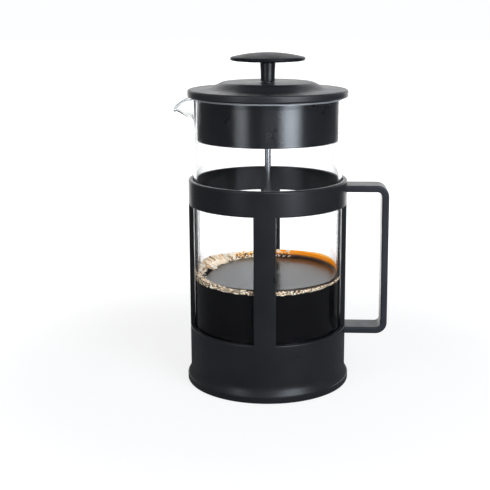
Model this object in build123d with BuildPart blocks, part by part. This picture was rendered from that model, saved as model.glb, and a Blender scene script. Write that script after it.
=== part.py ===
from build123d import *
import os

os.makedirs("parts", exist_ok=True)

# French press, one litre. Millimetres, +Z up, origin on the table in the
# middle of the foot. The handle points along +X, the pouring spout along -X.

# ---- driving dimensions -------------------------------------------------
# moulded frame round the beaker
frame_r = 51.4          # outer radius of band, posts and base cup
frame_ri = 48.5         # inner radius, the beaker drops in with 0.5 mm round it
band_z0, band_z1 = 118.9, 135.1
cup_z1 = 37.4           # top edge of the base cup
floor_z0, floor_z1 = 3.4, 6.0
foot_r = 53.6
foot_rim_z = 4.6        # height of the foot's upright rim
flare_z = 10.6          # where the foot's concave flare meets the cup wall
post_w = 13.8

# handle, a flat strip bent to a squared D
strip_w = 18.0
arm_top_z0, arm_top_z1 = 127.35, 131.65
arm_bot_z0, arm_bot_z1 = 32.85, 37.15
bar_x1_top, bar_x1_bot = 78.2, 78.8
bar_x0_top, bar_x0_bot = 73.6, 74.5

# self-tapping screws from inside the frame into the handle arms
screw_r, screw_head_r, screw_y = 1.2, 2.3, 5.2
screw_x0, screw_x1 = 48.7, 62.0
screw_zs = (129.5, 35.0)

# glass beaker, 96 mm across
glass_r, glass_t, glass_floor = 48.0, 2.0, 2.6
glass_z0, glass_z1 = 8.0, 187.2
glass_ri = glass_r - glass_t

# lid
cap_r = 51.2
cap_z0 = 187.5
plate_r, plate_z = 26.0, 196.8
sleeve_r, sleeve_t = 45.2, 1.8
sleeve_z0 = 160.1

# knob and plunger
rod_r = 2.0
knob_z0 = 197.1         # the knob's neck stands 0.3 mm over the lid plate
knob_r = 23.8
knob_apex = 215.2
rod_z0, rod_z1 = 15.4, 206.4
mesh_z = 19.0           # underside of the filter mesh with the plunger down


# ======================= the frame and handle ============================
with BuildPart() as frame_shell:
    # cup with floor and flared foot, wall and upper band in one turned profile
    with BuildSketch(Plane.XZ):
        with BuildLine():
            Polyline((0, floor_z0), (48.2, floor_z0), (49.4, 2.2), (49.4, 0),
                     (foot_r - 0.9, 0))
            RadiusArc((foot_r - 0.9, 0), (foot_r, 0.9), -0.9)
            Line((foot_r, 0.9), (foot_r, foot_rim_z - 0.5))
            RadiusArc((foot_r, foot_rim_z - 0.5), (foot_r - 0.5, foot_rim_z), -0.5)
            ThreePointArc((foot_r - 0.5, foot_rim_z),
                          (frame_r + 0.55, 7.1), (frame_r, flare_z))
            Line((frame_r, flare_z), (frame_r, band_z1 - 1.2))
            RadiusArc((frame_r, band_z1 - 1.2), (frame_r - 1.2, band_z1), -1.2)
            Line((frame_r - 1.2, band_z1), (frame_ri + 0.6, band_z1))
            RadiusArc((frame_ri + 0.6, band_z1), (frame_ri, band_z1 - 0.6), -0.6)
            Polyline((frame_ri, band_z1 - 0.6), (frame_ri, floor_z1 + 1.5),
                     (frame_ri - 1.5, floor_z1), (0, floor_z1), (0, floor_z0))
        make_face()
    revolve(axis=Axis.Z)
    # four windows leave four upright posts, a quarter turn apart
    with BuildSketch(Plane.XY.offset(cup_z1)):
        Rectangle(130, 130)
        Rectangle(post_w, 130, mode=Mode.SUBTRACT)
        Rectangle(130, post_w, mode=Mode.SUBTRACT)
    extrude(amount=band_z0 - cup_z1, mode=Mode.SUBTRACT)
    # the outer edges of each window are softened
    rim = frame_shell.edges().filter_by(
        lambda e: cup_z1 - 0.1 < e.center().Z < band_z0 + 0.1
        and (e.center().X ** 2 + e.center().Y ** 2) ** 0.5 > 38
        and abs((e.start_point().X ** 2 + e.start_point().Y ** 2) ** 0.5 - frame_r) < 0.01
        and abs((e.end_point().X ** 2 + e.end_point().Y ** 2) ** 0.5 - frame_r) < 0.01
    )
    fillet(rim, 0.6)
    # countersunk holes for the handle screws, bored from the inside
    for z in screw_zs:
        for y in (-screw_y, screw_y):
            with Locations(Location((screw_x0, y, z), (0, 90, 0))):
                Cone(screw_head_r, screw_r, 1.2,
                     align=(Align.CENTER, Align.CENTER, Align.MIN),
                     mode=Mode.SUBTRACT)
                Cylinder(screw_r, 6, align=(Align.CENTER, Align.CENTER, Align.MIN),
                         mode=Mode.SUBTRACT)
            with Locations(Location((screw_x0 - 2.5, y, z), (0, 90, 0))):
                Cylinder(screw_head_r, 2.5,
                         align=(Align.CENTER, Align.CENTER, Align.MIN),
                         mode=Mode.SUBTRACT)
frame_shell.part.label = "frame_shell"
export_step(frame_shell.part, "parts/frame_shell.step")

with BuildPart() as handle:
    # outer outline of the D
    with BuildSketch(Plane.XZ.offset(-strip_w / 2)) as outer:
        with BuildLine():
            Polyline((47, arm_bot_z0), (bar_x1_bot, arm_bot_z0),
                     (bar_x1_top, arm_top_z1), (47, arm_top_z1),
                     (47, arm_bot_z0))
        make_face()
        fillet(outer.vertices().filter_by(lambda v: v.X > 60 and v.Z < 60), 7.4)
        fillet(outer.vertices().filter_by(lambda v: v.X > 60 and v.Z > 125), 8.0)
    extrude(amount=strip_w)
    # finger opening
    with BuildSketch(Plane.XZ.offset(-strip_w / 2)) as inner:
        with BuildLine():
            Polyline((40, arm_bot_z1), (bar_x0_bot, arm_bot_z1),
                     (bar_x0_top, arm_top_z0), (40, arm_top_z0),
                     (40, arm_bot_z1))
        make_face()
        fillet(inner.vertices().filter_by(lambda v: v.X > 60 and v.Z < 60), 3.0)
        fillet(inner.vertices().filter_by(lambda v: v.X > 60 and v.Z > 115), 4.0)
    extrude(amount=strip_w, mode=Mode.SUBTRACT)
    # all the long edges of the strip are rounded
    side_edges = handle.edges().filter_by(
        lambda e: abs(abs(e.center().Y) - strip_w / 2) < 0.01 and e.center().X > 52
    )
    fillet(side_edges, 1.1)
    # the arms end on the round wall of the frame
    Cylinder(frame_r, 400, mode=Mode.SUBTRACT)
    # pilot holes for the screws
    for z in screw_zs:
        for y in (-screw_y, screw_y):
            with Locations(Location((45, y, z), (0, 90, 0))):
                Cylinder(screw_r, screw_x1 + 1.0 - 45,
                         align=(Align.CENTER, Align.CENTER, Align.MIN),
                         mode=Mode.SUBTRACT)
handle.part.label = "handle"
export_step(handle.part, "parts/handle.step")

with BuildPart() as handle_screws:
    # four countersunk self-tapping screws, two to each arm
    for z in screw_zs:
        for y in (-screw_y, screw_y):
            with BuildSketch(Plane(origin=(screw_x0, y, z), x_dir=(0, 1, 0),
                                   z_dir=(1, 0, 0))) as s:
                Circle(screw_head_r)
            with BuildSketch(Plane(origin=(screw_x0 + 1.2, y, z),
                                   x_dir=(0, 1, 0), z_dir=(1, 0, 0))) as s2:
                Circle(screw_r)
            loft()
            with Locations(Location((screw_x0 + 1.2, y, z), (0, 90, 0))):
                Cylinder(screw_r, screw_x1 - screw_x0 - 2.4,
                         align=(Align.CENTER, Align.CENTER, Align.MIN))
            with Locations(Location((screw_x1 - 1.2, y, z), (0, 90, 0))):
                Cone(screw_r, 0.3, 1.2,
                     align=(Align.CENTER, Align.CENTER, Align.MIN))
            # cross recess in the head
            with Locations((screw_x0, y, z)):
                Box(1.2, 0.6, 2.4, mode=Mode.SUBTRACT)
                Box(1.2, 2.4, 0.6, mode=Mode.SUBTRACT)
handle_screws.part.label = "handle_screws"
export_step(handle_screws.part, "parts/handle_screws.step")

with BuildPart() as beaker_cushion:
    # silicone ring in the cup, under the glass
    with BuildSketch(Plane.XZ) as s:
        with Locations((34, floor_z1)):
            Rectangle(13, 1.7, align=(Align.CENTER, Align.MIN))
        fillet(s.vertices().group_by(Axis.Z)[-1], 0.5)
    revolve(axis=Axis.Z)
    # it is notched in four places to drain
    for a in (45, 135, 225, 315):
        with Locations(Location((0, 0, floor_z1 + 1.2), (0, 0, a))):
            with Locations((34, 0, 0)):
                Box(15, 4, 2.0, align=(Align.CENTER, Align.CENTER, Align.MIN),
                    mode=Mode.SUBTRACT)
beaker_cushion.part.label = "beaker_cushion"
export_step(beaker_cushion.part, "parts/beaker_cushion.step")


# ============================ the beaker =================================
# nose of the spout by height: (z, how far the outside reaches, tip radius)
spout_rows = ((164.0, 46.9, 6.0), (168.5, 48.7, 5.8), (172.0, 50.0, 5.6),
              (174.4, 52.5, 5.0), (176.4, 56.6, 4.4), (178.4, 60.6, 3.8),
              (180.6, 62.8, 3.4), (184.5, 64.0, 3.2), (190.0, 65.0, 3.0))
spout_half = 15.0       # half width of the spout where it leaves the wall

with BuildPart() as beaker:
    # outside of the spout
    for z, reach, tip in spout_rows:
        with BuildSketch(Plane.XY.offset(z)) as s:
            with BuildLine():
                Polyline((-36, -spout_half * 0.98), (-44.6, -spout_half),
                         (-reach, 0), (-44.6, spout_half),
                         (-36, spout_half * 0.98), (-36, -spout_half * 0.98))
            make_face()
            fillet(s.vertices().filter_by(lambda v: v.X < -46.0), tip)
    loft()
    # round wall with a soft corner at the bottom
    with BuildSketch(Plane.XZ) as s:
        with BuildLine():
            Polyline((0, glass_z0), (glass_r - 6.5, glass_z0))
            RadiusArc((glass_r - 6.5, glass_z0), (glass_r, glass_z0 + 6.5), -6.5)
            Polyline((glass_r, glass_z0 + 6.5), (glass_r, glass_z1),
                     (0, glass_z1), (0, glass_z0))
        make_face()
    revolve(axis=Axis.Z)
    # inside of the spout
    for z, reach, tip in spout_rows:
        with BuildSketch(Plane.XY.offset(z + 0.8)) as s:
            with BuildLine():
                Polyline((-34, -spout_half * 0.98 + 2), (-43.9, -spout_half + 2.1),
                         (-reach + 2.2, 0), (-43.9, spout_half - 2.1),
                         (-34, spout_half * 0.98 - 2), (-34, -spout_half * 0.98 + 2))
            make_face()
            fillet(s.vertices().filter_by(lambda v: v.X < -44.4), max(tip - 1.6, 1.2))
    loft(mode=Mode.SUBTRACT)
    # inside of the round wall
    with BuildSketch(Plane.XZ) as s:
        with BuildLine():
            Polyline((0, glass_z0 + glass_floor),
                     (glass_ri - 5.0, glass_z0 + glass_floor))
            RadiusArc((glass_ri - 5.0, glass_z0 + glass_floor),
                      (glass_ri, glass_z0 + glass_floor + 5.0), -5.0)
            Polyline((glass_ri, glass_z0 + glass_floor + 5.0),
                     (glass_ri, glass_z1 + 5), (0, glass_z1 + 5),
                     (0, glass_z0 + glass_floor))
        make_face()
    revolve(axis=Axis.Z, mode=Mode.SUBTRACT)
    # the rim dips along the spout to its tip
    with BuildSketch(Plane.XZ.offset(-30)) as s:
        with BuildLine():
            Polyline((-43.0, glass_z1), (-46.2, glass_z1))
            Spline((-46.2, glass_z1), (-50.65, 185.9), (-53.9, 185.05),
                   (-56.8, 183.5), (-59.1, 181.6), (-60.3, 179.4), (-60.9, 176.0),
                   tangents=((-1, -0.1), (-0.1, -1)))
            Polyline((-60.9, 176.0), (-75, 176.0), (-75, 200), (-43.0, 200),
                     (-43.0, glass_z1))
        make_face()
    extrude(amount=60, mode=Mode.SUBTRACT)
beaker.part.label = "beaker"
export_step(beaker.part, "parts/beaker.step")


# ============================== the lid ==================================
with BuildPart() as lid_sleeve:
    # tube that hangs inside the glass; its flange rests on the rim
    with BuildSketch(Plane.XZ) as s:
        with BuildLine() as l:
            Line((sleeve_r - sleeve_t + 0.4, sleeve_z0), (sleeve_r - 0.5, sleeve_z0))
            RadiusArc((sleeve_r - 0.5, sleeve_z0), (sleeve_r, sleeve_z0 + 0.5), -0.5)
            Polyline((sleeve_r, sleeve_z0 + 0.5), (sleeve_r, 183.2),
                     (sleeve_r + 0.45, 185.6), (sleeve_r + 0.45, glass_z1 + 0.3),
                     (47.7, glass_z1 + 0.3))
            Polyline((47.7, glass_z1 + 0.3), (47.7, glass_z1 + 1.3),
                     (sleeve_r - sleeve_t, glass_z1 + 1.3),
                     (sleeve_r - sleeve_t, sleeve_z0 + 0.6),
                     (sleeve_r - sleeve_t + 0.4, sleeve_z0))
        make_face()
    revolve(axis=Axis.Z)
lid_sleeve.part.label = "lid_sleeve"
export_step(lid_sleeve.part, "parts/lid_sleeve.step")

with BuildPart() as lid_cap:
    # matte cap: thick rounded brim, dished slope and a raised flat plate
    with BuildSketch(Plane.XZ) as s:
        with BuildLine() as l:
            Line((48.4, cap_z0), (cap_r - 1.0, cap_z0))
            RadiusArc((cap_r - 1.0, cap_z0), (cap_r, cap_z0 + 1.0), -1.0)
            Line((cap_r, cap_z0 + 1.0), (cap_r, 190.8))
            RadiusArc((cap_r, 190.8), (cap_r - 1.4, 192.2), -1.4)
            Line((cap_r - 1.4, 192.2), (39.4, 192.6))
            Bezier((39.4, 192.6), (37.4, 192.7), (35.6, 193.5), (33.8, 194.4))
            Bezier((33.8, 194.4), (32.0, 195.3), (30.8, 196.1), (29.4, 196.5))
            Bezier((29.4, 196.5), (28.6, 196.73), (28.0, plate_z), (plate_r, plate_z))
            Polyline((plate_r, plate_z),
                     (4.0, plate_z), (4.0, plate_z - 2.2), (25.2, plate_z - 2.2),
                     (29.2, 193.9), (35.4, 191.2), (40.2, 190.2), (40.2, 182.0), (41.6, 182.0),
                     (42.6, 183.0), (42.6, 190.6), (43.4, 191.0),
                     (47.6, 190.6), (48.4, 189.4), (48.4, cap_z0))
        make_face()
    revolve(axis=Axis.Z)
    # round shoulder that holds the guide bush
    with BuildSketch(Plane.XZ) as s:
        with BuildLine() as l:
            Polyline((6.8, plate_z - 1.5), (6.8, 190.6), (8.6, 190.6),
                     (8.9, 191.0), (8.9, plate_z - 1.5), (6.8, plate_z - 1.5))
        make_face()
    revolve(axis=Axis.Z)
lid_cap.part.label = "lid_cap"
export_step(lid_cap.part, "parts/lid_cap.step")

with BuildPart() as rod_guide:
    # flanged bush the rod runs in
    with BuildSketch(Plane.XZ) as s:
        with BuildLine() as l:
            Polyline((rod_r + 0.05, plate_z - 0.4), (rod_r + 0.45, plate_z),
                     (4.0, plate_z), (4.0, plate_z - 2.2), (6.6, plate_z - 2.2),
                     (6.6, plate_z - 3.6), (4.6, plate_z - 3.8),
                     (4.6, 187.2), (4.2, 186.8), (rod_r + 0.45, 186.8),
                     (rod_r + 0.05, 187.2), (rod_r + 0.05, plate_z - 0.4))
        make_face()
    revolve(axis=Axis.Z)
rod_guide.part.label = "rod_guide"
export_step(rod_guide.part, "parts/rod_guide.step")

with BuildPart() as guide_clip:
    # toothed spring-steel ring pushed up the shoulder, keeps the bush in
    with BuildSketch(Plane.XY.offset(plate_z - 4.4)) as s:
        Circle(6.8)
        Circle(4.6, mode=Mode.SUBTRACT)
        with PolarLocations(5.0, 6):
            Rectangle(1.8, 0.8, mode=Mode.SUBTRACT)
    extrude(amount=0.6)
guide_clip.part.label = "guide_clip"
export_step(guide_clip.part, "parts/guide_clip.step")


# ======================== knob, rod and filter ===========================
with BuildPart() as knob_stem:
    # glossy neck that spreads into the underside of the knob
    with BuildSketch(Plane.XZ) as s:
        with BuildLine() as l:
            Polyline((3.2, knob_z0), (4.2, knob_z0), (4.5, knob_z0 + 0.3),
                     (4.65, 203.0), (4.95, 208.3))
            RadiusArc((4.95, 208.3), (5.9, 209.2), 0.95)
            Polyline((5.9, 209.2), (15.0, 209.35), (22.2, 210.0), (22.9, 210.6),
                     (22.9, 211.6), (0, 211.6), (0, rod_z1 + 0.2),
                     (3.2, rod_z1 + 0.2), (3.2, knob_z0))
        make_face()
    revolve(axis=Axis.Z)
knob_stem.part.label = "knob_stem"
export_step(knob_stem.part, "parts/knob_stem.step")

with BuildPart() as knob_top:
    # satin mushroom top
    with BuildSketch(Plane.XZ) as s:
        with BuildLine() as l:
            Polyline((0, 211.6), (22.9, 211.6), (22.9, 210.3), (23.1, 210.2))
            RadiusArc((23.1, 210.2), (knob_r, 210.95), -0.72)
            Line((knob_r, 210.95), (knob_r, 211.5))
            ThreePointArc((knob_r, 211.5), (23.52, 212.12), (22.9, 212.41))
            Bezier((22.9, 212.41), (15.41, 214.27), (7.72, knob_apex), (0, knob_apex))
            Line((0, knob_apex), (0, 211.6))
        make_face()
    revolve(axis=Axis.Z)
knob_top.part.label = "knob_top"
export_step(knob_top.part, "parts/knob_top.step")

with BuildPart() as knob_insert:
    # knurled brass insert moulded into the neck, threaded for the rod
    with BuildSketch(Plane.XZ) as s:
        with BuildLine() as l:
            Polyline((rod_r, 198.0), (2.6, 197.6), (3.2, 197.9), (3.2, 200.6),
                     (2.8, 200.9), (2.8, 201.7), (3.2, 202.0), (3.2, 205.8),
                     (2.9, 206.1), (rod_r, 206.1), (rod_r, 198.0))
        make_face()
    revolve(axis=Axis.Z)
knob_insert.part.label = "knob_insert"
export_step(knob_insert.part, "parts/knob_insert.step")

with BuildPart() as plunger_rod:
    # straight steel rod, both ends chamfered for the threads
    with BuildSketch(Plane.XZ) as s:
        with BuildLine() as l:
            Polyline((0, rod_z0), (rod_r - 0.4, rod_z0), (rod_r, rod_z0 + 0.4),
                     (rod_r, rod_z1 - 0.4), (rod_r - 0.4, rod_z1), (0, rod_z1),
                     (0, rod_z0))
        make_face()
    revolve(axis=Axis.Z)
plunger_rod.part.label = "plunger_rod"
export_step(plunger_rod.part, "parts/plunger_rod.step")

plate_z0 = mesh_z + 0.4         # spring plate on the mesh
with BuildPart() as spring_plate:
    # pressed plate: outer flange, upright wall, level web with two rings of holes
    with BuildSketch(Plane.XZ) as s:
        with BuildLine() as l:
            Polyline((rod_r, plate_z0), (44.6, plate_z0), (44.6, plate_z0 + 0.7),
                     (42.4, plate_z0 + 0.7), (42.4, plate_z0 + 4.4),
                     (41.7, plate_z0 + 4.4), (41.7, plate_z0 + 0.7),
                     (rod_r, plate_z0 + 0.7), (rod_r, plate_z0))
        make_face()
    revolve(axis=Axis.Z)
    with BuildSketch(Plane.XY.offset(plate_z0 - 1)) as s:
        with PolarLocations(15.0, 8):
            Circle(3.4)
        with PolarLocations(24.5, 12):
            Circle(3.8)
        with PolarLocations(34.8, 16):
            Circle(4.2)
    extrude(amount=3, mode=Mode.SUBTRACT)
spring_plate.part.label = "spring_plate"
export_step(spring_plate.part, "parts/spring_plate.step")

with BuildPart() as edge_spring:
    # closed coil spring that seals on the glass, drawn as its envelope
    with BuildSketch(Plane.XZ) as s:
        with Locations((44.1, plate_z0 + 0.7 + 1.65)):
            Circle(1.65)
            Circle(1.05, mode=Mode.SUBTRACT)
    revolve(axis=Axis.Z)
edge_spring.part.label = "edge_spring"
export_step(edge_spring.part, "parts/edge_spring.step")

with BuildPart() as filter_mesh:
    # fine woven disc, drawn as a thin sheet
    with BuildSketch(Plane.XY.offset(mesh_z)) as s:
        Circle(45.3)
        Circle(rod_r, mode=Mode.SUBTRACT)
    extrude(amount=0.4)
filter_mesh.part.label = "filter_mesh"
export_step(filter_mesh.part, "parts/filter_mesh.step")

with BuildPart() as support_plate:
    # stiff perforated plate under the mesh
    with BuildSketch(Plane.XY.offset(mesh_z - 1.0)):
        Circle(41.0)
        Circle(rod_r, mode=Mode.SUBTRACT)
        with PolarLocations(14.5, 8):
            Circle(3.6, mode=Mode.SUBTRACT)
        with PolarLocations(29.0, 12, start_angle=15):
            Circle(6.2, mode=Mode.SUBTRACT)
    extrude(amount=1.0)
support_plate.part.label = "support_plate"
export_step(support_plate.part, "parts/support_plate.step")

with BuildPart() as hub_nut:
    # flanged hexagon nut that clamps the filter from below
    with BuildSketch(Plane.XY.offset(mesh_z - 2.2)) as s:
        Circle(6.4)
        Circle(rod_r, mode=Mode.SUBTRACT)
    extrude(amount=1.2)
    with BuildSketch(Plane.XY.offset(mesh_z - 5.2)) as s:
        RegularPolygon(4.6, 6)
        Circle(rod_r, mode=Mode.SUBTRACT)
    extrude(amount=3.0)
hub_nut.part.label = "hub_nut"
export_step(hub_nut.part, "parts/hub_nut.step")

with BuildPart() as clamp_washer:
    # wide washer over the spring plate
    with BuildSketch(Plane.XY.offset(plate_z0 + 0.7)) as s:
        Circle(9.0)
        Circle(rod_r, mode=Mode.SUBTRACT)
    extrude(amount=0.8)
clamp_washer.part.label = "clamp_washer"
export_step(clamp_washer.part, "parts/clamp_washer.step")

with BuildPart() as rod_collar:
    # collar pressed on the rod, the stack is clamped against it
    with BuildSketch(Plane.XY.offset(plate_z0 + 1.5)) as s:
        Circle(4.6)
        Circle(rod_r, mode=Mode.SUBTRACT)
    extrude(amount=5.0)
    chamfer(rod_collar.edges().group_by(Axis.Z)[-1].sort_by(SortBy.RADIUS)[-1:], 0.8)
rod_collar.part.label = "rod_collar"
export_step(rod_collar.part, "parts/rod_collar.step")
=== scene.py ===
import math
import random

import bpy
import bmesh
import numpy as np
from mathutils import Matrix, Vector


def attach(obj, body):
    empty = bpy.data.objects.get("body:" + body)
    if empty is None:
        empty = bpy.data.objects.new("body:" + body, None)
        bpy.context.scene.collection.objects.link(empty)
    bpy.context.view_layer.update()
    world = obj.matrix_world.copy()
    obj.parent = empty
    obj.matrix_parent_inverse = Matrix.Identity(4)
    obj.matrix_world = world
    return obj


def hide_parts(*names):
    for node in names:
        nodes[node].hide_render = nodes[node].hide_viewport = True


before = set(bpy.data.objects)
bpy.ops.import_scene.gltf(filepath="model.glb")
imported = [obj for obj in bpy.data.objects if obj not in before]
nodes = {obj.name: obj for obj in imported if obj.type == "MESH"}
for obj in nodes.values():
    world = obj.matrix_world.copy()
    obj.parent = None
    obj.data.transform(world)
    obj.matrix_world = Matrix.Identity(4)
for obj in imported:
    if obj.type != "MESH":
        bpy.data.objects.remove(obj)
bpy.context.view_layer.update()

random.seed(7)
rng = np.random.default_rng(7)
MM = 0.001
scene = bpy.context.scene
scene.view_settings.view_transform = "Standard"
scene.view_settings.look = "None"
scene.view_settings.exposure = 0.0
scene.view_settings.gamma = 1.0


# ------------------------------------------------------------------ helpers
def link(obj):
    bpy.context.scene.collection.objects.link(obj)
    return obj


def mesh_object(name, verts, faces, smooth=True):
    me = bpy.data.meshes.new(name)
    me.from_pydata([tuple(v) for v in verts], [], [tuple(f) for f in faces])
    me.validate()
    me.update()
    if smooth:
        me.polygons.foreach_set("use_smooth", [True] * len(me.polygons))
    return link(bpy.data.objects.new(name, me))


def grid_faces(nu, nv, closed_u=True, closed_v=False, offset=0):
    faces = []
    for j in range(nv if closed_v else nv - 1):
        for i in range(nu if closed_u else nu - 1):
            a = offset + j * nu + i
            b = offset + j * nu + (i + 1) % nu
            c = offset + ((j + 1) % nv) * nu + (i + 1) % nu
            d = offset + ((j + 1) % nv) * nu + i
            faces.append((a, b, c, d))
    return faces


class Mat:
    """A small wrapper that keeps node code short."""

    def __init__(self, name):
        self.m = bpy.data.materials.new(name)
        self.m.use_nodes = True
        self.t = self.m.node_tree
        self.t.nodes.clear()
        self.out = self.t.nodes.new("ShaderNodeOutputMaterial")
        self.b = self.t.nodes.new("ShaderNodeBsdfPrincipled")
        self.t.links.new(self.b.outputs[0], self.out.inputs["Surface"])
        self.co = self.t.nodes.new("ShaderNodeTexCoord").outputs["Object"]

    def node(self, kind, **props):
        n = self.t.nodes.new(kind)
        for k, v in props.items():
            setattr(n, k, v)
        return n

    def link(self, a, b):
        self.t.links.new(a, b)

    def noise(self, scale, detail=2.0, rough=0.5, vector=None, distortion=0.0):
        n = self.node("ShaderNodeTexNoise")
        n.inputs["Scale"].default_value = scale
        n.inputs["Detail"].default_value = detail
        n.inputs["Roughness"].default_value = rough
        n.inputs["Distortion"].default_value = distortion
        self.link(vector or self.co, n.inputs["Vector"])
        return n.outputs["Fac"]

    def ramp(self, fac, stops, interpolation="LINEAR"):
        n = self.node("ShaderNodeValToRGB")
        n.color_ramp.interpolation = interpolation
        els = n.color_ramp.elements
        while len(els) < len(stops):
            els.new(0.5)
        for e, (p, c) in zip(els, stops):
            e.position = p
            e.color = (*c, 1.0) if len(c) == 3 else c
        self.link(fac, n.inputs["Fac"])
        return n.outputs["Color"]

    def maprange(self, fac, lo, hi, a=0.0, b=1.0):
        n = self.node("ShaderNodeMapRange")
        n.inputs["From Min"].default_value = a
        n.inputs["From Max"].default_value = b
        n.inputs["To Min"].default_value = lo
        n.inputs["To Max"].default_value = hi
        self.link(fac, n.inputs["Value"])
        return n.outputs["Result"]

    def math(self, op, a, b=None):
        n = self.node("ShaderNodeMath", operation=op)
        for i, v in enumerate((a, b)):
            if v is None:
                continue
            if isinstance(v, (int, float)):
                n.inputs[i].default_value = v
            else:
                self.link(v, n.inputs[i])
        return n.outputs[0]

    def bump(self, height, strength, distance):
        n = self.node("ShaderNodeBump")
        n.inputs["Strength"].default_value = strength
        n.inputs["Distance"].default_value = distance
        self.link(height, n.inputs["Height"])
        self.link(n.outputs["Normal"], self.b.inputs["Normal"])
        return n

    def set(self, **kw):
        for k, v in kw.items():
            self.b.inputs[k.replace("_", " ")].default_value = v
        return self


def plastic(name, low, high, rough, grain, grain_depth, spec=0.5):
    """Moulded plastic: slight tone drift, fine spark texture, uneven polish."""
    m = Mat(name)
    drift = m.noise(38.0, 4.0, 0.55)
    m.link(m.ramp(drift, [(0.3, low), (0.7, high)]), m.b.inputs["Base Color"])
    r1 = m.noise(95.0, 5.0, 0.6)
    m.link(m.maprange(r1, rough[0], rough[1], 0.3, 0.7), m.b.inputs["Roughness"])
    fine = m.noise(grain, 3.0, 0.6)
    flow = m.noise(24.0, 2.0, 0.5)
    height = m.math("ADD", fine, m.math("MULTIPLY", flow, 1.6))
    m.bump(height, 1.0, grain_depth)
    m.b.inputs["Specular IOR Level"].default_value = spec
    return m.m


# ---------------------------------------------------------------- materials
frame_black = plastic("satin_black_frame", (0.0085, 0.0090, 0.0105),
                      (0.0125, 0.0130, 0.0150), (0.27, 0.37), 2600.0, 0.000012, 0.34)
lid_black = plastic("matte_black_lid", (0.0065, 0.0070, 0.0095),
                    (0.0095, 0.0100, 0.0135), (0.34, 0.44), 2300.0, 0.000014, 0.56)
handle_black = plastic("satin_black_handle", (0.024, 0.025, 0.030),
                       (0.034, 0.035, 0.042), (0.30, 0.40), 2500.0, 0.000013, 0.25)
knob_black = plastic("satin_black_knob", (0.0065, 0.0070, 0.0090),
                     (0.0095, 0.0100, 0.0130), (0.36, 0.46), 2300.0, 0.000014, 0.13)
gloss_black = plastic("gloss_black", (0.0080, 0.0092, 0.0125),
                      (0.0120, 0.0135, 0.0175), (0.27, 0.30), 700.0, 0.000001, 0.55)
guide_black = plastic("guide_black", (0.030, 0.030, 0.031),
                      (0.044, 0.044, 0.045), (0.3, 0.42), 2000.0, 0.00001, 0.5)
silicone = plastic("silicone_black", (0.018, 0.018, 0.018),
                   (0.030, 0.030, 0.030), (0.55, 0.68), 1500.0, 0.00002, 0.35)


def steel_material(name, kind):
    m = Mat(name)
    m.set(Metallic=1.0)
    tone = m.noise(60.0, 4.0, 0.6)
    low, high = (0.42, 0.52) if kind == "rod" else (0.60, 0.74)
    m.link(m.ramp(tone, [(0.25, (low, low, low * 1.02)), (0.75, (high, high, high * 1.02))]),
           m.b.inputs["Base Color"])
    mp = m.node("ShaderNodeMapping")
    m.link(m.co, mp.inputs["Vector"])
    if kind == "rod":      # drawn lengthways
        mp.inputs["Scale"].default_value = (260.0, 260.0, 3.0)
    elif kind == "turned":
        mp.inputs["Scale"].default_value = (200.0, 200.0, 2600.0)
    else:                  # rolled sheet
        mp.inputs["Scale"].default_value = (60.0, 2200.0, 60.0)
    lines = m.noise(1.0, 3.0, 0.55, vector=mp.outputs["Vector"])
    m.link(m.maprange(lines, 0.14, 0.30, 0.25, 0.75), m.b.inputs["Roughness"])
    m.bump(lines, 0.2 if kind == "rod" else 0.6, 0.000003 if kind == "rod" else 0.000006)
    return m.m


steel_rod = steel_material("bright_steel_rod", "rod")
steel_sheet = steel_material("rolled_steel_sheet", "sheet")
steel_turned = steel_material("turned_steel", "turned")


def brass_material():
    m = Mat("turned_brass")
    m.set(Metallic=1.0)
    tone = m.noise(120.0, 3.0, 0.5)
    m.link(m.ramp(tone, [(0.3, (0.66, 0.46, 0.19)), (0.7, (0.80, 0.60, 0.30))]),
           m.b.inputs["Base Color"])
    m.link(m.maprange(m.noise(900.0, 3.0), 0.22, 0.36, 0.3, 0.7), m.b.inputs["Roughness"])
    m.bump(m.noise(1800.0, 2.0), 0.5, 0.00001)
    return m.m


brass = brass_material()


def mesh_cloth_material():
    """Woven steel wire cloth: two crossed sets of fine wires."""
    m = Mat("woven_wire_cloth")
    m.set(Metallic=1.0)
    waves = []
    for direction in ("X", "Y"):
        w = m.node("ShaderNodeTexWave", wave_type="BANDS", bands_direction=direction,
                   wave_profile="SIN")
        w.inputs["Scale"].default_value = 620.0
        w.inputs["Distortion"].default_value = 0.0
        m.link(m.co, w.inputs["Vector"])
        waves.append(w.outputs["Fac"])
    weave = m.math("MAXIMUM", waves[0], waves[1])
    m.link(m.ramp(weave, [(0.45, (0.05, 0.05, 0.05)), (0.8, (0.72, 0.72, 0.73))]),
           m.b.inputs["Base Color"])
    m.link(m.maprange(weave, 0.55, 0.24), m.b.inputs["Roughness"])
    m.bump(weave, 0.9, 0.00006)
    return m.m


wire_cloth = mesh_cloth_material()


def glass_material():
    m = Mat("clear_borosilicate")
    m.set(IOR=1.33)
    m.b.inputs["Transmission Weight"].default_value = 1.0
    tint = m.noise(9.0, 2.0, 0.5)
    m.link(m.ramp(tint, [(0.3, (0.985, 0.990, 0.995)), (0.7, (0.995, 0.998, 1.0))]),
           m.b.inputs["Base Color"])
    streak = m.noise(22.0, 2.0, 0.5)
    m.link(m.maprange(streak, 0.0, 0.006, 0.45, 0.8), m.b.inputs["Roughness"])
    m.bump(m.noise(16.0, 1.0, 0.4), 0.1, 0.000004)
    return m.m


glass = glass_material()


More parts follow.
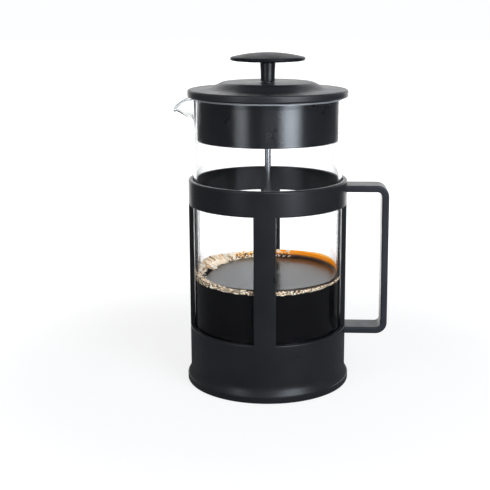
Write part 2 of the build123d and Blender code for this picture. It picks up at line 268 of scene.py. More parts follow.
def rim_material():
    """Ground and fire-polished rim: clear in part and partly milky white, a painted highlight for the light line
    the rounded rim catches under the lid.
    """
    m = Mat("rim_painted_highlight_glass")
    m.set(IOR=1.45)
    # only partly clear: the white diffuse rest is the painted highlight along the rim
    m.b.inputs["Transmission Weight"].default_value = 0.62
    tint = m.noise(60.0, 2.0, 0.5)
    m.link(m.ramp(tint, [(0.3, (0.80, 0.86, 0.92)), (0.7, (0.92, 0.95, 0.98))]),
           m.b.inputs["Base Color"])
    m.link(m.maprange(m.noise(90.0, 2.0), 0.10, 0.22, 0.3, 0.7), m.b.inputs["Roughness"])
    m.bump(m.noise(120.0, 2.0), 0.3, 0.00003)
    return m.m


rim_painted_highlight = rim_material()


def coffee_body_material():
    """Coffee against the glass: near-black, no shine of its own."""
    m = Mat("brewed_coffee_body")
    cloud = m.noise(30.0, 4.0, 0.6)
    m.link(m.ramp(cloud, [(0.35, (0.0065, 0.0060, 0.0072)), (0.75, (0.0105, 0.0098, 0.0112))]),
           m.b.inputs["Base Color"])
    m.b.inputs["Specular IOR Level"].default_value = 0.0
    m.link(m.maprange(m.noise(12.0, 2.0), 0.5, 0.7, 0.3, 0.7), m.b.inputs["Roughness"])
    return m.m


def coffee_surface_material():
    """Open surface: dark and glossy; where it climbs the glass it turns amber, partly the thin coffee's own tone
    and partly painted light, with a painted glow for light shining through the film from behind.
    """
    m = Mat("brewed_coffee_surface")
    m.set(IOR=1.33)
    sep = m.node("ShaderNodeSeparateXYZ")
    m.link(m.co, sep.inputs[0])
    wobble = m.math("MULTIPLY", m.math("SUBTRACT", m.noise(150.0, 3.0, 0.6), 0.5), 0.0009)
    height = m.maprange(m.math("ADD", sep.outputs["Z"], wobble), 0.0, 1.0, 0.0720, 0.0766)
    cloud = m.noise(26.0, 4.0, 0.6)
    dark = m.ramp(cloud, [(0.35, (0.0035, 0.0030, 0.0030)), (0.75, (0.0075, 0.0060, 0.0055))])
    # amber towards the top of the film: the thin coffee's own tone, brightened into painted backlight
    col = m.ramp(height, [(0.0, (0.010, 0.009, 0.009)), (0.12, (0.040, 0.028, 0.020)),
                          (0.28, (0.12, 0.048, 0.012)), (0.42, (0.42, 0.140, 0.006)),
                          (0.56, (0.76, 0.230, 0.001)), (0.92, (0.88, 0.30, 0.001)),
                          (1.0, (1.0, 0.52, 0.10))])
    mix = m.node("ShaderNodeMix", data_type="RGBA")
    m.link(m.maprange(height, 0.0, 1.0, 0.0, 0.06), mix.inputs[0])
    m.link(dark, mix.inputs[6])
    m.link(col, mix.inputs[7])
    m.link(mix.outputs[2], m.b.inputs["Base Color"])
    # painted glow: the amber film gets emission, standing in for light shining through it from behind
    m.link(mix.outputs[2], m.b.inputs["Emission Color"])
    m.link(m.maprange(height, 0.0, 0.75, 0.04, 0.45), m.b.inputs["Emission Strength"])
    m.link(m.maprange(m.noise(12.0, 2.0), 0.21, 0.26, 0.3, 0.7), m.b.inputs["Roughness"])
    m.bump(m.noise(55.0, 2.0, 0.5), 0.25, 0.00008)
    return m.m


coffee_body = coffee_body_material()
coffee_surface = coffee_surface_material()


def foam_material(name, dark, mid, light, glow=0.0, scale=340.0, each=0.0):
    """Froth; each bubble may also differ in tone from its neighbours, and glow adds a painted glow in the
    froth's own colours.
    """
    m = Mat(name)
    tone = m.noise(scale, 4.0, 0.65)
    if each:
        own = m.node("ShaderNodeNewGeometry").outputs["Random Per Island"]
        tone = m.math("ADD", m.math("MULTIPLY", tone, 1.0 - each),
                      m.math("MULTIPLY", m.maprange(own, 0.25, 0.72), each))
    col = m.ramp(tone, [(0.32, dark), (0.45, mid), (0.58, light)])
    m.link(col, m.b.inputs["Base Color"])
    m.set(IOR=1.33)
    m.link(m.maprange(m.noise(420.0, 2.0), 0.08, 0.24, 0.3, 0.7), m.b.inputs["Roughness"])
    m.bump(m.noise(2600.0, 2.0), 0.3, 0.00003)
    # painted glow: the froth gets emission, standing in for light passing through its bubbles
    if glow:
        m.link(col, m.b.inputs["Emission Color"])
        m.b.inputs["Emission Strength"].default_value = glow
    return m.m


# the number after the three tones is each froth's painted glow
foam_light = foam_material("coffee_foam_light", (0.30, 0.19, 0.11),
                           (0.90, 0.70, 0.47), (1.0, 0.95, 0.82), 0.40, 500.0, 0.7)
foam_tan = foam_material("coffee_foam_tan", (0.13, 0.070, 0.036),
                         (0.74, 0.54, 0.35), (1.0, 0.94, 0.80), 0.60, 620.0, 0.35)
foam_gold = foam_material("coffee_foam_gold", (0.60, 0.20, 0.012),
                          (0.92, 0.50, 0.12), (1.0, 0.86, 0.52), 0.45, 500.0, 0.6)
foam_base = foam_material("coffee_foam_bed", (0.012, 0.007, 0.005),
                          (0.045, 0.026, 0.016), (0.22, 0.14, 0.08), 0.03, 700.0)


# ------------------------------------------------- finishes of the CAD nodes
FINISH = {
    "frame_shell": frame_black, "handle": handle_black,
    "handle_screws": steel_turned, "beaker_cushion": silicone,
    "lid_sleeve": gloss_black, "lid_cap": lid_black, "rod_guide": guide_black,
    "guide_clip": steel_sheet, "knob_top": knob_black, "knob_stem": gloss_black,
    "knob_insert": brass, "plunger_rod": steel_rod, "rod_collar": steel_turned,
    "clamp_washer": steel_turned, "spring_plate": steel_sheet,
    "edge_spring": steel_rod, "filter_mesh": wire_cloth,
    "support_plate": steel_sheet, "hub_nut": steel_turned, "beaker": glass,
}
for name, material in FINISH.items():
    data = nodes[name].data
    data.materials.clear()
    data.materials.append(material)

# ---------------------------------------------------------------- the beaker
GLASS_R, GLASS_T, Z0, Z1, FLOOR = 48.0, 2.0, 8.0, 187.2, 2.6


def smooth_interp(x, xs, ys):
    """Monotone cubic through the points (Fritsch-Carlson)."""
    xs, ys = np.array(xs, float), np.array(ys, float)
    h = np.diff(xs)
    d = np.diff(ys) / h
    m = np.r_[d[0], (d[:-1] + d[1:]) / 2, d[-1]]
    for i in range(len(d)):
        if abs(d[i]) < 1e-12:
            m[i] = m[i + 1] = 0
        else:
            a, b = m[i] / d[i], m[i + 1] / d[i]
            s = a * a + b * b
            if s > 9:
                t = 3 / math.sqrt(s)
                m[i], m[i + 1] = t * a * d[i], t * b * d[i]
    x = np.clip(np.asarray(x, float), xs[0], xs[-1])
    i = np.clip(np.searchsorted(xs, x) - 1, 0, len(h) - 1)
    t = (x - xs[i]) / h[i]
    return ((1 + 2 * t) * (1 - t) ** 2 * ys[i] + t * (1 - t) ** 2 * h[i] * m[i]
            + t * t * (3 - 2 * t) * ys[i + 1] + t * t * (t - 1) * h[i] * m[i + 1])


# middle line of the glass wall over the spout: radius and height
SPOUT_LINE = ((47.0, 158.0), (47.02, 163.0), (47.35, 168.0), (48.2, 171.4),
              (49.9, 173.7), (52.3, 175.3), (54.6, 176.7), (56.9, 178.0),
              (58.7, 178.6), (59.75, 178.15))


def curve_at(points, s):
    """Point at fraction s of a smooth line through the points."""
    pts = np.array(points)
    d = np.r_[0, np.cumsum(np.linalg.norm(np.diff(pts, axis=0), axis=1))]
    d /= d[-1]
    return np.array([smooth_interp(s, d, pts[:, k]) for k in range(2)])


def build_glass():
    nu = 480
    th = np.linspace(-math.pi, math.pi, nu, endpoint=False)     # 0 is +X
    phi = np.abs(np.abs(th) - math.pi)                           # from the spout
    half = math.radians(20.5)
    q = np.clip(phi / half, 0, 1)
    tip = 0.15
    v = (np.sqrt(q * q + tip * tip) - tip) / (math.sqrt(1 + tip * tip) - tip)
    w = np.clip((1 - v) * (1 - v * 0.30), 0, 1)
    fade = np.clip((1 - q) / 0.25, 0, 1)
    w = w * (0.35 * fade * fade * (3 - 2 * fade) + 0.65 * (1 - (1 - fade) ** 2))
    half_t = GLASS_T / 2 - 0.18 * w                              # the lip is drawn a little thinner
    low, top = 158.0, Z1 - 1.0
    # the rim falls slowly at first, then quickly to the tip
    straight = top + (SPOUT_LINE[-1][1] - top) * w
    lip = smooth_interp(w, [0, 0.10, 0.25, 0.5, 0.72, 0.9, 1.0],
                        [top, top - 0.1, top - 0.5, 184.7, 183.0, 180.8, SPOUT_LINE[-1][1]])
    lift = lip - straight

    def mid(s):
        """Middle of the wall at fraction s between the height low and the rim."""
        sr, sz = curve_at(SPOUT_LINE, s)
        r = (GLASS_R - GLASS_T / 2) * (1 - w) + sr * w
        z = (low + (top - low) * s) * (1 - w) + sz * w + lift * s ** 2.2
        return r, z

    rows = []

    def ring(r, z):
        rows.append((np.broadcast_to(r, th.shape), np.broadcast_to(z, th.shape)))

    def offset(s, side, push=0.0):
        r0, z0 = mid(max(s - 0.004, 0.0))
        r1, z1 = mid(min(s + 0.004, 1.0))
        dr, dz = r1 - r0, z1 - z0
        n = np.sqrt(dr * dr + dz * dz)
        dr, dz = dr / n, dz / n
        r, z = mid(s)
        return r + side * half_t * dz + push * dr, z - side * half_t * dr + push * dz

    # outside bottom, centre outwards
    for r in (0.02, 6, 14, 22, 30, 36, 40):
        ring(r, Z0)
    for a in np.linspace(0, 90, 13):
        ring(GLASS_R - 6.5 + 6.5 * math.sin(math.radians(a)),
             Z0 + 6.5 - 6.5 * math.cos(math.radians(a)))
    for z in np.linspace(Z0 + 6.5, low - 1.5, 22)[1:]:
        ring(GLASS_R, z)
    steps = np.linspace(0, 1, 42)
    for s in steps:
        ring(*offset(s, 1))
    rim_from = len(rows) - 1
    # rounded edge of the rim
    for a in np.linspace(0, 180, 13)[1:-1]:
        c, s = math.cos(math.radians(a)), math.sin(math.radians(a))
        r, z = offset(1.0, c, 0.0)
        r0, z0 = mid(0.996)
        r1, z1 = mid(1.0)
        n = np.sqrt((r1 - r0) ** 2 + (z1 - z0) ** 2)
        ring(r + half_t * s * (r1 - r0) / n, z + half_t * s * (z1 - z0) / n)
    rim_to = len(rows)
    for s in steps[::-1]:
        ring(*offset(s, -1))
    bottom_i = Z0 + FLOOR + 5.0
    for z in np.linspace(low - 1.5, bottom_i, 22):
        ring(GLASS_R - GLASS_T, z)
    for a in np.linspace(90, 0, 13)[1:]:
        ring(GLASS_R - GLASS_T - 5.0 + 5.0 * math.sin(math.radians(a)),
             Z0 + FLOOR + 5.0 - 5.0 * math.cos(math.radians(a)))
    for r in (36, 30, 22, 14, 6, 0.02):
        ring(r, Z0 + FLOOR)
    verts = np.concatenate([np.c_[r * np.cos(th), r * np.sin(th), z] for r, z in rows]) * MM
    n = len(rows)
    faces = grid_faces(nu, n)
    faces.append(tuple(reversed(range(nu))))
    faces.append(tuple(range((n - 1) * nu, n * nu)))
    ob = mesh_object("beaker_glass", verts, faces)
    ob.data.materials.append(glass)
    ob.data.materials.append(rim_painted_highlight)
    # the rim rows take the partly milky glass, a painted highlight along the rim
    ob.data.polygons.foreach_set("material_index", [
        1 if rim_from <= k // nu < rim_to and k < nu * (n - 1) else 0
        for k in range(len(faces))])
    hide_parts("beaker")
    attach(ob, "glass_beaker")
    return ob


build_glass()


# ------------------------------------------------------------- edge spring
def build_spring():
    """The closed coil of wire round the filter plate."""
    ring_r, z, coil_r, wire_r, turns = 44.1, 21.75, 1.36, 0.27, 150
    per, sides = 14, 6
    n = turns * per
    k = np.arange(n)
    a = 2 * math.pi * k / n
    b = 2 * math.pi * k / per
    c = np.c_[(ring_r + coil_r * np.cos(b)) * np.cos(a),
              (ring_r + coil_r * np.cos(b)) * np.sin(a),
              z + coil_r * np.sin(b)]
    tangent = np.roll(c, -1, 0) - np.roll(c, 1, 0)
    tangent /= np.linalg.norm(tangent, axis=1)[:, None]
    axis = np.c_[ring_r * np.cos(a), ring_r * np.sin(a), np.full(n, z)]
    out = c - axis
    out -= (out * tangent).sum(1)[:, None] * tangent
    out /= np.linalg.norm(out, axis=1)[:, None]
    side = np.cross(tangent, out)
    verts = []
    for i in range(n):
        for s in range(sides):
            q = 2 * math.pi * s / sides
            verts.append(c[i] + wire_r * (math.cos(q) * out[i] + math.sin(q) * side[i]))
    ob = mesh_object("edge_spring_coil", np.array(verts) * MM,
                     grid_faces(sides, n, True, True))
    ob.data.materials.append(steel_rod)
    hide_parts("edge_spring")
    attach(ob, "plunger")


build_spring()


# ------------------------------------------------------- coffee in the glass
COFFEE_Z = 72.0
nu = 288
ang = np.linspace(0, 2 * math.pi, nu, endpoint=False)
WALL_R = 46.3          # the coffee and foam wet the glass, so they reach into its wall


def keyed(deg, keys):
    """Smooth value round the glass from (angle, value...) keys, periodic."""
    d = np.asarray(deg, float) % 360
    ks = [(k[0] - 360, *k[1:]) for k in keys] + list(keys) + [(k[0] + 360, *k[1:]) for k in keys]
    xs = [k[0] for k in ks]
    return np.array([smooth_interp(d, xs, [k[i] for k in ks]) for i in range(1, len(keys[0]))])


# angle from +X: how far the coffee climbs the glass
CLIMB = [(0, 4.0), (20, 5.7), (38, 5.8), (58, 4.9), (86, 4.4), (100, 2.4), (118, 0.6), (150, 0.3),
         (200, 0.3), (260, 0.3), (310, 0.35), (332, 0.7), (346, 2.0)]
# angle: radial depth of the foam, its depth below the surface, its pile at the wall
FOAM = [(0, 0.3, 1.0, -0.4), (20, 0.0, 0.0, 0.0), (62, 0.0, 0.0, 0.0), (70, 1.6, 0.3, 2.6),
        (84, 2.4, 0.6, 3.0), (100, 4.0, 1.0, 3.4), (118, 5.2, 1.4, 3.8), (140, 6.6, 2.0, 4.6),
        (160, 6.8, 2.6, 5.4), (180, 6.2, 3.0, 4.6), (196, 3.8, 3.2, 2.6), (210, 1.9, 3.2, 1.3),
        (225, 1.2, 3.0, 0.6), (245, 1.0, 3.1, 0.0), (265, 0.9, 3.3, -0.6), (285, 0.9, 3.4, -0.9),
        (300, 0.9, 3.2, -0.9), (318, 0.8, 2.8, -0.8), (328, 0.4, 2.3, -1.0),
        (336, 0.5, 2.4, -0.9), (346, 0.7, 2.2, -0.6)]


def build_coffee():
    deg = np.degrees(ang)
    climb = keyed(deg, CLIMB)[0]
    depth, below, _ = keyed(deg, FOAM)
    step = np.clip(depth, 0, 0.9)
    rows, body_rows = [], 0
    for r, z in ((0.02, 10.2), (20.0, 10.2), (41.2, 10.2)):
        rows.append((r, z))
    for a in np.linspace(0, 90, 9)[1:]:
        rows.append((41.0 + (WALL_R - 41.0) * math.sin(math.radians(a)),
                     15.6 - 5.35 * math.cos(math.radians(a))))
    for z in (17.0, 18.0, 30.0, 50.0, 60.0):
        rows.append((WALL_R, z))
    foot = COFFEE_Z - below * 0.92
    rows.append((WALL_R, foot - 0.6))
    rows.append((WALL_R, foot - 0.1))
    # it stands back behind the foam, and climbs the glass where there is none
    rows.append((WALL_R - step, foot + 0.05))
    rows.append((WALL_R - step, COFFEE_Z - 0.05))
    edge = WALL_R - step
    for a in (90, 80, 70, 60, 50, 40, 30, 20, 10, 0):
        s, c = math.sin(math.radians(a)), math.cos(math.radians(a))
        reach = 1.2 + 0.16 * climb
        rows.append((edge - reach * (1 - s), COFFEE_Z + climb * (1 - c)))
        if a == 90:
            body_rows = len(rows) - 1
    for r, z in ((38.0, 0.0), (30.0, 0.0), (20.0, 0.0), (10.0, 0.0), (2.6, 0.03),
                 (2.25, 0.14), (2.06, 0.36)):
        rows.append((r, COFFEE_Z + z))
    rows.append((0.02, COFFEE_Z + 0.36))
    verts = np.concatenate([np.c_[r * np.cos(ang), r * np.sin(ang), z]
                            for r, z in ((np.broadcast_to(r, nu), np.broadcast_to(z, nu))
                                         for r, z in rows)]) * MM
    faces = grid_faces(nu, len(rows))
    split = nu * body_rows
    faces.append(tuple(reversed(range(nu))))
    faces.append(tuple(range((len(rows) - 1) * nu, len(rows) * nu)))
    ob = mesh_object("coffee_fill", verts, faces)
    ob.data.materials.append(coffee_body)
    ob.data.materials.append(coffee_surface)
    index = [0] * split + [1] * (len(faces) - split)
    index[-2] = 0
    ob.data.polygons.foreach_set("material_index", index)
    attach(ob, "glass_beaker")


build_coffee()


def build_foam_bed():
    """Wet foam under and between the bubbles, one closed ring."""
    deg = np.degrees(ang)
    depth, below, pile = keyed(deg, FOAM)
    d = np.maximum(depth - 0.35, 0.05)
    outer = WALL_R - 0.12
    inner = outer - d
    lo = COFFEE_Z - np.maximum(below - 0.25, 0.02)
    hi = COFFEE_Z + np.where(pile > 0.9, (pile - 0.9) * 0.85, np.minimum(pile - 0.2, 0.0))
    rows = [(outer, lo), (outer, lo + (hi - lo) * 0.35), (outer, lo + (hi - lo) * 0.7),
            (outer - d * 0.06, hi), (outer - d * 0.3, hi * 0.72 + COFFEE_Z * 0.28),
            (outer - d * 0.6, hi * 0.38 + COFFEE_Z * 0.62), (outer - d * 0.85, hi * 0.12 + COFFEE_Z * 0.88),
            (inner, np.minimum(COFFEE_Z + 0.02, hi)), (inner, np.minimum(COFFEE_Z, hi) - 0.4),
            (outer - d * 0.5, np.minimum(lo, COFFEE_Z - 0.5))]
    verts = []
    for k, (r, z) in enumerate(rows):
        wave = 0.16 * np.sin(deg * 0.9 + k * 1.7) + 0.10 * np.sin(deg * 2.3 + k * 0.6)
        r = r + np.where(k in (0, 1, 2), 0.0, wave * np.clip(d, 0, 1))
        verts.append(np.c_[r * np.cos(ang), r * np.sin(ang), np.broadcast_to(z, nu)])
    ob = mesh_object("coffee_foam_bed", np.concatenate(verts) * MM,
                     grid_faces(nu, len(rows), True, True))
    ob.data.materials.append(foam_base)
    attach(ob, "glass_beaker")


build_foam_bed()


def icosphere(sub):
    bm = bmesh.new()
    bmesh.ops.create_icosphere(bm, subdivisions=sub, radius=1.0)
    bm.verts.index_update()
    v = np.array([x.co[:] for x in bm.verts])
    f = np.array([[x.index for x in q.verts] for q in bm.faces])
    bm.free()
    return v, f


def bubble_object(name, items, mat, sub):
    """items: angle in degrees, r, z, then half sizes along r, round and up, and tilt."""
    sv, sf = icosphere(sub)
    items = np.array(items, float)
    a = np.radians(items[:, 0])
    er = np.c_[np.cos(a), np.sin(a), np.zeros(len(a))]
    et = np.c_[-np.sin(a), np.cos(a), np.zeros(len(a))]
    ez = np.tile([0.0, 0.0, 1.0], (len(a), 1))
    tilt = np.radians(items[:, 6])[:, None]
    er, ez = er * np.cos(tilt) + ez * np.sin(tilt), ez * np.cos(tilt) - er * np.sin(tilt)
    c = np.c_[items[:, 1] * np.cos(a), items[:, 1] * np.sin(a), items[:, 2]]
    v = (c[:, None] + sv[None, :, 0:1] * (er * items[:, 3:4])[:, None]
         + sv[None, :, 1:2] * (et * items[:, 4:5])[:, None]
         + sv[None, :, 2:3] * (ez * items[:, 5:6])[:, None]).reshape(-1, 3)
    f = (sf[None] + (np.arange(len(items)) * len(sv))[:, None, None]).reshape(-1, 3)
    ob = mesh_object(name, v * MM, f)
    ob.data.materials.append(mat)
    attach(ob, "glass_beaker")
    return ob


def build_foam():
    fine, light, gold, lumps = [], [], [], []
    # fine froth along the front, pressed on the glass
    for deg in np.arange(0, 360, 0.4):
        depth, below, pile = keyed([deg], FOAM)[:, 0]
        if depth < 0.15:
            continue
        span = below + pile
        crowd = 0.85 - 0.60 * math.exp(-((deg - 164) / 36.0) ** 2)
        n = rng.poisson(0.4 * (2.2 * span + 0.9 * depth) * crowd)
        for _ in range(n):
            size = float(np.clip(0.37 * rng.lognormal(0.0, 0.36), 0.2, 0.85))
            if pile < 0.9 or rng.random() < span / (span + 0.7 * depth):    # on the glass
                z = COFFEE_Z - below + rng.random() * span
                r = WALL_R - size * rng.uniform(0.45, 0.95)
            else:                                               # on the coffee
                u = rng.random()
                r = WALL_R - 0.2 - u * depth
                z = COFFEE_Z + pile * (1 - u) ** 1.3 * 0.8 + rng.uniform(-0.1, 0.25)
            item = (deg + rng.uniform(0, 0.4), r, z, size, size, size * 0.9, 0.0)
            if 84 < deg < 122 and z > COFFEE_Z + 1.0:
                gold.append(item)
            elif 122 <= deg < 176 and z > COFFEE_Z + 1.6:
                light.append(item)
            else:
                fine.append(item)
    # long bubbles lying from the glass towards the middle, on the spout's side
    for deg in np.arange(124, 194, 5.0):
        depth, below, pile = keyed([deg], FOAM)[:, 0]
        strength = math.exp(-((deg - 156) / 26.0) ** 2)
        for layer in range(3 if deg < 170 else 1):
            size = (0.85 + 0.55 * strength) * rng.uniform(0.85, 1.15)
            long = size * rng.uniform(1.7, 2.7) * (0.7 + 0.5 * strength)
            r = WALL_R - long * 0.9 - layer * depth * 0.27 - 0.3
            z = COFFEE_Z + pile * (0.80 - 0.33 * layer) + rng.uniform(-0.2, 0.2)
            (light if rng.random() < 0.72 else fine).append(
                (deg + rng.uniform(-1.2, 1.2) + layer * 1.1, r, max(z, COFFEE_Z + 0.25),
                 long, size, size * 0.8, rng.uniform(14, 30)))
    # middle sized ones
    for _ in range(90):
        deg = rng.uniform(96, 206)
        depth, below, pile = keyed([deg], FOAM)[:, 0]
        u = rng.random() ** 1.2
        size = float(np.clip(0.62 * rng.lognormal(0, 0.32), 0.35, 1.25))
        r = WALL_R - size - u * max(depth - size, 0.2)
        z = COFFEE_Z + pile * (1 - u) * 0.95 + rng.uniform(-0.1, 0.3)
        bag = gold if deg < 120 and u < 0.5 else (light if rng.random() < 0.5 else fine)
        bag.append((deg, r, z, size * 1.1, size, size * 0.85, rng.uniform(0, 20)))
    # two big clear ones and their small neighbours beside the back post
    for deg, r, z, s in ((82.6, 44.6, 75.9, 1.15), (73.6, 44.7, 76.2, 1.3)):
        light.append((deg, r, z, s, s * 1.15, s * 0.9, 0.0))
    for _ in range(34):
        deg = rng.uniform(70, 88)
        s = rng.uniform(0.3, 0.62)
        gold.append((deg, WALL_R - 0.6 - rng.uniform(0, 1.6), COFFEE_Z + rng.uniform(1.8, 4.4),
                     s, s, s * 0.9, 0.0))
    # loose small ones drifting off the edge
    for _ in range(70):
        deg = rng.uniform(96, 232)
        depth = keyed([deg], FOAM)[0, 0]
        s = rng.uniform(0.18, 0.42)
        fine.append((deg, WALL_R - 0.4 - depth - abs(rng.normal(0, 0.9)), COFFEE_Z + s * 0.2,
                     s, s, s * 0.8, 0.0))
    # dark flat lumps lying in the foam on the spout's side
    for _ in range(80):
        deg = rng.uniform(160, 198)
        depth = keyed([deg], FOAM)[0, 0]
        s = rng.uniform(0.35, 0.95)
        lumps.append((deg, WALL_R - depth + rng.uniform(-1.6, 1.2), COFFEE_Z + rng.uniform(-0.1, 0.5),
                      s * 1.5, s, s * 0.55, rng.uniform(-10, 10)))
    bubble_object("coffee_foam_fine", fine, foam_tan, 1)
    bubble_object("coffee_foam_light", light, foam_light, 2)
    bubble_object("coffee_foam_gold", gold, foam_gold, 2)
    bubble_object("coffee_dark_lumps", lumps, coffee_body, 2)


build_foam()

# -------------------------------------------------------------------- stage
floor_verts = [(-6, -6, -0.0002), (6, -6, -0.0002), (6, 6, -0.0002), (-6, 6, -0.0002)]
floor = mesh_object("floor", floor_verts, [(0, 1, 2, 3)], smooth=False)
fm = bpy.data.materials.new("pale_floor")
fm.use_nodes = True
ft = fm.node_tree
ft.nodes.clear()


def tree_math(tree, op, a, b=None, c=None):
    n = tree.nodes.new("ShaderNodeMath")
    n.operation = op
    for i, v in enumerate((a, b, c)):
        if v is None:
            continue
        if isinstance(v, (int, float)):
            n.inputs[i].default_value = v
        else:
            tree.links.new(v, n.inputs[i])
    return n.outputs[0]


def seen_directly(tree):
    """1 for what is seen straight or through glass, 0 for what is only reflected."""
    path = tree.nodes.new("ShaderNodeLightPath")
    depth = tree_math(tree, "ADD", path.outputs["Glossy Depth"], path.outputs["Diffuse Depth"])
    return tree_math(tree, "LESS_THAN", depth, 0.5)


FLOOR_LIT, FLOOR_SEEN = 0.22, 0.80
out = ft.nodes.new("ShaderNodeOutputMaterial")
dif = ft.nodes.new("ShaderNodeBsdfDiffuse")
dif.inputs["Color"].default_value = (FLOOR_LIT, FLOOR_LIT, FLOOR_LIT * 1.01, 1)
em = ft.nodes.new("ShaderNodeEmission")
em.inputs["Color"].default_value = (1, 1, 1, 1)
geo = ft.nodes.new("ShaderNodeTexCoord")
sepf = ft.nodes.new("ShaderNodeSeparateXYZ")
ft.links.new(geo.outputs["Object"], sepf.inputs[0])
rad = tree_math(ft, "SQRT", tree_math(ft, "ADD", tree_math(ft, "POWER", tree_math(ft, "ABSOLUTE", sepf.outputs["X"]), 2.0),
                                      tree_math(ft, "POWER", tree_math(ft, "ABSOLUTE", sepf.outputs["Y"]), 2.0)))
far = ft.nodes.new("ShaderNodeMapRange")
far.interpolation_type = "SMOOTHSTEP"
far.inputs["From Min"].default_value = 0.12
far.inputs["From Max"].default_value = 0.45
ft.links.new(rad, far.inputs["Value"])
behind = ft.nodes.new("ShaderNodeMapRange")      # the sweep glows behind the press
behind.interpolation_type = "SMOOTHSTEP"
behind.inputs["From Min"].default_value = 0.05
behind.inputs["From Max"].default_value = 0.28
behind.inputs["To Max"].default_value = 2.5
ft.links.new(sepf.outputs["Y"], behind.inputs["Value"])
direct = seen_directly(ft)
glow = tree_math(ft, "MULTIPLY", direct,
                 tree_math(ft, "ADD", FLOOR_SEEN,
                           tree_math(ft, "MULTIPLY", far.outputs["Result"], 0.4)))
straight = ft.nodes.new("ShaderNodeMapRange")    # only straight behind it
straight.interpolation_type = "SMOOTHSTEP"
straight.inputs["From Min"].default_value = 0.70
straight.inputs["From Max"].default_value = 0.985
ft.links.new(tree_math(ft, "DIVIDE", sepf.outputs["Y"], rad), straight.inputs["Value"])
bounce = tree_math(ft, "MULTIPLY", tree_math(ft, "SUBTRACT", 1.0, direct),
                   tree_math(ft, "MULTIPLY", behind.outputs["Result"], straight.outputs["Result"]))
strength = tree_math(ft, "ADD", glow, bounce)
ft.links.new(strength, em.inputs["Strength"])
add = ft.nodes.new("ShaderNodeAddShader")
ft.links.new(dif.outputs[0], add.inputs[0])
ft.links.new(em.outputs[0], add.inputs[1])
# from below the floor is clear, so the underside of the foot can be seen
clear = ft.nodes.new("ShaderNodeBsdfTransparent")
side = ft.nodes.new("ShaderNodeNewGeometry")
onesided = ft.nodes.new("ShaderNodeMixShader")
ft.links.new(side.outputs["Backfacing"], onesided.inputs[0])
ft.links.new(add.outputs[0], onesided.inputs[1])
ft.links.new(clear.outputs[0], onesided.inputs[2])
ft.links.new(onesided.outputs[0], out.inputs["Surface"])
floor.data.materials.append(fm)

# white room: plain white where it is seen, softer and darker to the front
# where it only lights and reflects
WORLD_FRONT, WORLD_BACK = 0.25, 1.25
world = bpy.data.worlds.new("studio")
scene.world = world
world.use_nodes = True
wt = world.node_tree
wt.nodes.clear()
wo = wt.nodes.new("ShaderNodeOutputWorld")
bg = wt.nodes.new("ShaderNodeBackground")
wt.links.new(bg.outputs[0], wo.inputs["Surface"])
tc = wt.nodes.new("ShaderNodeTexCoord")
sp = wt.nodes.new("ShaderNodeSeparateXYZ")
wt.links.new(tc.outputs["Generated"], sp.inputs[0])
def world_ramp(value, a, b, lo, hi):
    n = wt.nodes.new("ShaderNodeMapRange")
    n.interpolation_type = "SMOOTHSTEP"
    for key, v in (("From Min", a), ("From Max", b), ("To Min", lo), ("To Max", hi)):
        n.inputs[key].default_value = v
    wt.links.new(value, n.inputs["Value"])
    return n.outputs["Result"]


level = tree_math(wt, "SQRT", tree_math(wt, "ADD", tree_math(wt, "POWER", tree_math(wt, "ABSOLUTE", sp.outputs["X"]), 2.0),
                                        tree_math(wt, "POWER", tree_math(wt, "ABSOLUTE", sp.outputs["Y"]), 2.0)))
back = world_ramp(tree_math(wt, "DIVIDE", sp.outputs["Y"], level), 0.66, 0.985, 0.0, 1.0)   # +Y is behind
lowz = world_ramp(sp.outputs["Z"], 0.30, 0.72, 1.0, 0.0)
room = tree_math(wt, "ADD", WORLD_FRONT,
                 tree_math(wt, "MULTIPLY", tree_math(wt, "MULTIPLY", back, lowz), WORLD_BACK))
mix = wt.nodes.new("ShaderNodeMix")
mix.data_type = "FLOAT"
wt.links.new(seen_directly(wt), mix.inputs[0])
wt.links.new(room, mix.inputs[2])
mix.inputs[3].default_value = 1.0
wt.links.new(mix.outputs[0], bg.inputs["Strength"])
bg.inputs["Color"].default_value = (0.985, 0.99, 1.0, 1)


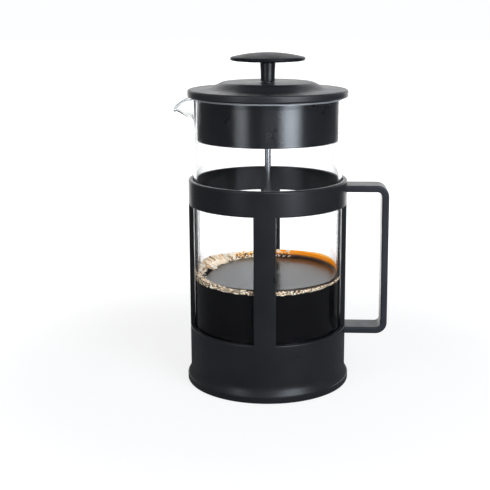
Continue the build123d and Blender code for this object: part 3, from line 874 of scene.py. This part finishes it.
def softbox(name, az, el, dist, w, h, power, color=(1, 1, 1), target=(0, 0, 0.12), soft=True):
    """az is measured from the camera's side of the press towards +X; soft ones fade sideways."""
    light = bpy.data.lights.new(name, "AREA")
    light.shape = "RECTANGLE"
    light.size, light.size_y = w, h
    light.energy = power
    light.color = color
    if soft:
        light.use_nodes = True
        lt = light.node_tree
        lt.nodes.clear()
        lo = lt.nodes.new("ShaderNodeOutputLight")
        le = lt.nodes.new("ShaderNodeEmission")
        lg = lt.nodes.new("ShaderNodeNewGeometry")
        ls = lt.nodes.new("ShaderNodeSeparateXYZ")
        lt.links.new(lg.outputs["Parametric"], ls.inputs[0])
        wave = tree_math(lt, "SINE", tree_math(lt, "MULTIPLY", ls.outputs["X"], math.pi))
        lt.links.new(tree_math(lt, "MULTIPLY", tree_math(lt, "MULTIPLY", wave, wave), 2.0),
                     le.inputs["Strength"])
        lt.links.new(le.outputs[0], lo.inputs["Surface"])
    ob = link(bpy.data.objects.new(name, light))
    a, e = math.radians(az), math.radians(el)
    d = Vector((math.sin(a) * math.cos(e), -math.cos(a) * math.cos(e), math.sin(e)))
    ob.location = Vector(target) + d * dist
    ob.rotation_euler = (-d).to_track_quat("-Z", "Y").to_euler()
    return ob


softbox("key_right", 37, 20, 0.95, 0.90, 0.95, 9.4, (0.84, 0.91, 1.0))
softbox("fill_left", -38, 20, 0.95, 0.62, 0.95, 2.1, (0.88, 0.93, 1.0))
softbox("front_wide", 4, 8, 1.00, 0.60, 0.80, 0.28, (0.86, 0.93, 1.0), (0, 0, 0.14))
softbox("overhead", 20, 62, 1.3, 0.7, 0.7, 1.4, (1.0, 1.0, 1.0), (0, 0, 0.12), False)

# ------------------------------------------------------------------- camera
cam_data = bpy.data.cameras.new("camera")
cam = link(bpy.data.objects.new("camera", cam_data))
az, pitch, D, H = math.radians(2.2), math.radians(13.32), 0.66316, 0.24723
cam.location = (D * math.sin(az), -D * math.cos(az), H)
cam.rotation_euler = (math.pi / 2 - pitch, 0.0, az)
cam_data.sensor_fit = "HORIZONTAL"
cam_data.sensor_width = 36.0
cam_data.lens = 36.0 * 1035.0 / 490.0
cam_data.shift_x = -22.8 / 490.0
cam_data.clip_start = 0.01
cam_data.clip_end = 50.0
scene.camera = cam
